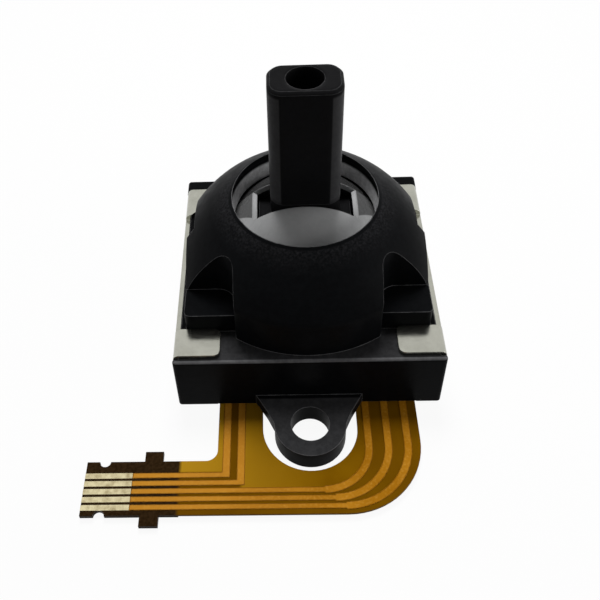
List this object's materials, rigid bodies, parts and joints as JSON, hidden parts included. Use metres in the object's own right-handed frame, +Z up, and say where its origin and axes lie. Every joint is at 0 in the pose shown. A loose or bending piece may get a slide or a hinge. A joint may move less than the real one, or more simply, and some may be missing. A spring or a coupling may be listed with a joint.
{
  "type": "controller analog stick",
  "caption": "Small two-axis analog stick module with click switch, domed housing in a folded metal frame, fixing ear and flexible circuit tail.",
  "frame": {"origin": "centre of the gimbal axis on the underside plane of the metal plate", "axes": "+Z up along the stick at rest, +Y to the back, away from the fixing ear, +X to the right; the tail points along -X"},
  "size_m": [0.0218, 0.0244, 0.0194],
  "materials": {
    "housing": "satin moulded",
    "stick": "satin moulded",
    "tilt_dome": "smooth",
    "tray": "satin moulded",
    "inner_plastic": "satin moulded",
    "carrier": "satin moulded",
    "frame_metal": "rolled sheet",
    "pin_steel": "ground",
    "spring_steel": "bright",
    "wiper": "plated",
    "film": "polyimide film",
    "copper": "copper under cover film",
    "tin": "tinned",
    "stiffener": "laminate",
    "carbon": "printed carbon"
  },
  "bodies": {
    "housing": {"dome_housing": "housing", "metal_frame": "frame_metal", "flex_film": "film", "copper_traces": "copper", "contact_pads": "tin", "tail_stiffener": "stiffener", "base_tray": "tray", "carbon_track_x": "carbon", "carbon_track_y": "carbon", "switch_contacts": "tin", "snap_dome": "spring_steel", "return_spring": "spring_steel"},
    "cradle": {"gimbal_cradle": "inner_plastic"},
    "ring": {"gimbal_ring": "inner_plastic", "cross_pin": "pin_steel"},
    "stick": {"stick_shaft": "stick", "tilt_dome": "tilt_dome"},
    "carrier_x": {"wiper_carrier_x": "carrier", "wiper_x": "wiper"},
    "carrier_y": {"wiper_carrier_y": "carrier", "wiper_y": "wiper"},
    "plunger": {"click_plunger": "carrier"}
  },
  "joints": [
    {"name": "click", "type": "slide", "parent": "housing", "child": "cradle", "axis": [0, 0, -1], "range_m": [0, 0.0003], "stiffness_N_per_m": 800, "deforming": ["snap_dome", "return_spring"]},
    {"name": "side_tilt", "type": "hinge", "parent": "cradle", "child": "ring", "pos_m": [0, 0, 0.00575], "axis": [0, 1, 0], "range_deg": [-15, 15], "stiffness_Nm_per_rad": 0.006},
    {"name": "front_tilt", "type": "hinge", "parent": "ring", "child": "stick", "pos_m": [0, 0, 0.00575], "axis": [1, 0, 0], "range_deg": [-15, 15], "stiffness_Nm_per_rad": 0.006},
    {"name": "carrier_x_slide", "type": "slide", "parent": "housing", "child": "carrier_x", "axis": [1, 0, 0], "range_m": [-0.00098, 0.00098]},
    {"name": "carrier_y_slide", "type": "slide", "parent": "housing", "child": "carrier_y", "axis": [0, 1, 0], "range_m": [-0.00114, 0.00114]},
    {"name": "plunger_slide", "type": "slide", "parent": "housing", "child": "plunger", "axis": [0, 0, -1], "range_m": [0, 0.0003]}
  ],
  "couplings": [
    {"joint": "carrier_x_slide", "follows": "side_tilt", "m_per_rad": -0.0036846},
    {"joint": "carrier_y_slide", "follows": "front_tilt", "m_per_rad": 0.0042987},
    {"joint": "plunger_slide", "follows": "click", "ratio": 1}
  ]
}
